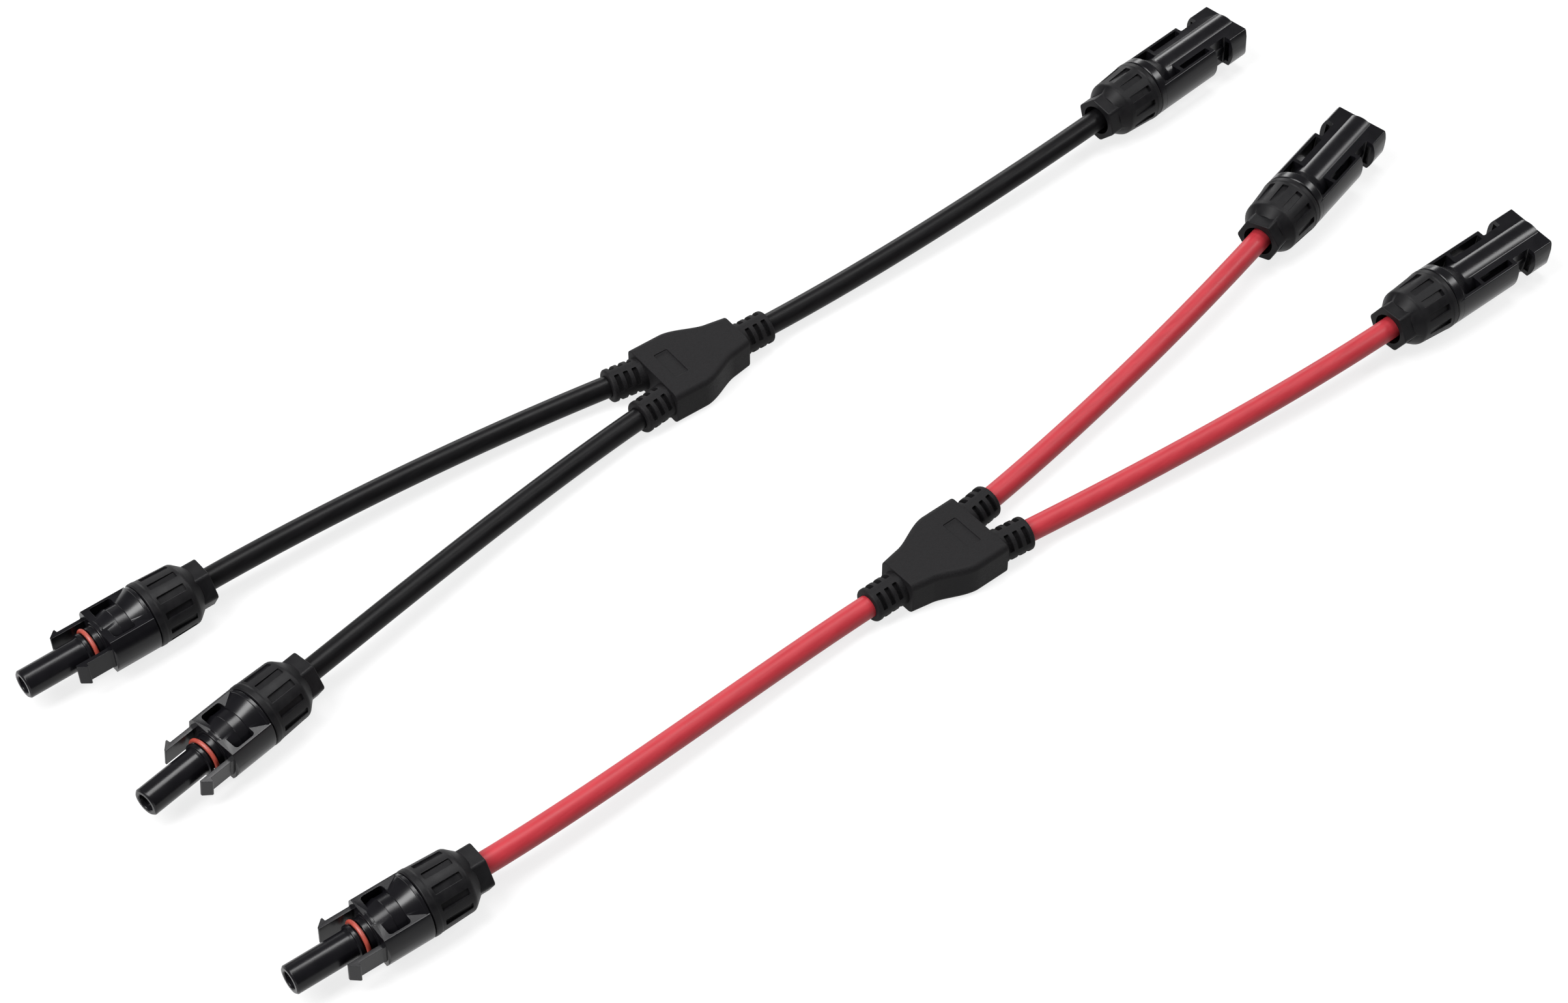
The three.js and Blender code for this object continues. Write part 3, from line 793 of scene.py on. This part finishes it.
def add_connectors():
    common = {"cable_seal": cable_seal(), "clamp_cage": clamp_cage()}
    latch_meshes = {"housing": latch_housing(), "o_ring": o_ring(), "sleeve_contact": sleeve_contact()}
    socket_meshes = {
        "housing": socket_housing(), "pin_contact": pin_contact(), "contact_clip": contact_clip(),
    }
    slots = {
        "housing": "housing_plastic", "o_ring": "o_ring_rubber", "sleeve_contact": "tinned_contact",
        "pin_contact": "tinned_contact", "contact_clip": "tinned_contact",
    }
    nuts = {
        "latch": cap_nut(rear_radius=8.85, slot_start=8.4),
        "socket": cap_nut(rear_radius=8.45, slot_start=8.9),
    }
    arms = {"left": latch_arm(1), "right": latch_arm(-1)}
    for name in LATCHES + SOCKETS:
        place = PLACES[name]
        branch = name.split("_")[0] + "_branch"
        kind = "latch" if name in LATCHES else "socket"
        for piece, mesh in (latch_meshes if kind == "latch" else socket_meshes).items():
            add_piece(mesh, f"{name}_{piece}", place, branch, slots[piece])
        add_piece(common["cable_seal"], f"{name}_cable_seal", place, f"{name}_gland", "seal_rubber")
        add_piece(common["clamp_cage"], f"{name}_clamp_cage", place, f"{name}_gland", "cage_plastic")
        turned = place @ about_x(NUT_TURNS[name])
        add_piece(nuts[kind], f"{name}_cap_nut", turned, f"{name}_nut", "nut_plastic")
        if kind == "latch":
            for side, mesh in arms.items():
                add_piece(mesh, f"{name}_arm_{side}", place, f"{name}_arm_{side}", "housing_plastic")


def add_moulds():
    mesh = y_mould()
    for colour in MOULD_HEADINGS:
        add_piece(mesh, f"{colour}_y_mould", PLACES[colour], f"{colour}_branch", "mould_rubber")


def dress_hidden_metal():
    """The conductors and splices keep their CAD solids and get a metal finish."""
    for name, node in frame["nodes"].items():
        if name.endswith(("_conductor", "_splice")):
            node.data.materials.clear()
            node.data.materials.append(MATERIALS["tinned_copper"])


add_connectors()
add_moulds()
dress_hidden_metal()

# ---- Floor and light --------------------------------------------------------------------------------

FLOOR_HALF = 1.6
WORLD_STRENGTH = 0.16
# Each softbox: its place and its size in metres, and its watts. All aim at the middle of the pair.
SOFTBOXES = {
    "overhead": {"place": (0.35, 0.15, 1.25), "size": (0.6, 0.4), "watts": 12},
    "left": {"place": (-0.85, 0.2, 1.05), "size": (0.5, 1.1), "watts": 34},
    "right": {"place": (1.1, -0.45, 1.05), "size": (0.4, 0.4), "watts": 9},
    "back": {"place": (0.9, 1.25, 0.4), "size": (0.9, 0.3), "watts": 7},
}


def add_floor():
    """White paper. It glows a little, so that it is as white as the photo's and its shadows stay faint."""
    low, high = -FLOOR_HALF, FLOOR_HALF
    floor = mesh_object([(low, low, 0), (high, low, 0), (high, high, 0), (low, high, 0)], [[0, 1, 2, 3]])
    floor.name = "floor"
    shader = Shader("floor_paper")
    shader.colours(shader.noise(40, 2), (0.13, 0.13, 0.131), (0.14, 0.14, 0.14))
    shader.set(Roughness=0.9, Specular_IOR_Level=0, Emission_Color=(1, 1, 1, 1), Emission_Strength=0.8)
    floor.data.materials.append(shader.material)


def add_softbox(name, place, size, watts):
    data = bpy.data.lights.new(name, "AREA")
    data.shape = "RECTANGLE"
    data.size, data.size_y = size
    data.energy = watts
    light = bpy.data.objects.new(name, data)
    light.location = place
    light.rotation_euler = (-Vector(place)).to_track_quat("-Z", "Y").to_euler()
    bpy.context.scene.collection.objects.link(light)


def add_light():
    world = bpy.data.worlds.new("studio")
    bpy.context.scene.world = world
    world.use_nodes = True
    background = world.node_tree.nodes["Background"]
    background.inputs["Color"].default_value = (1, 1, 1, 1)
    background.inputs["Strength"].default_value = WORLD_STRENGTH
    for name, box in SOFTBOXES.items():
        add_softbox(name, **box)


add_floor()
add_light()
bpy.context.scene.view_settings.view_transform = "Standard"
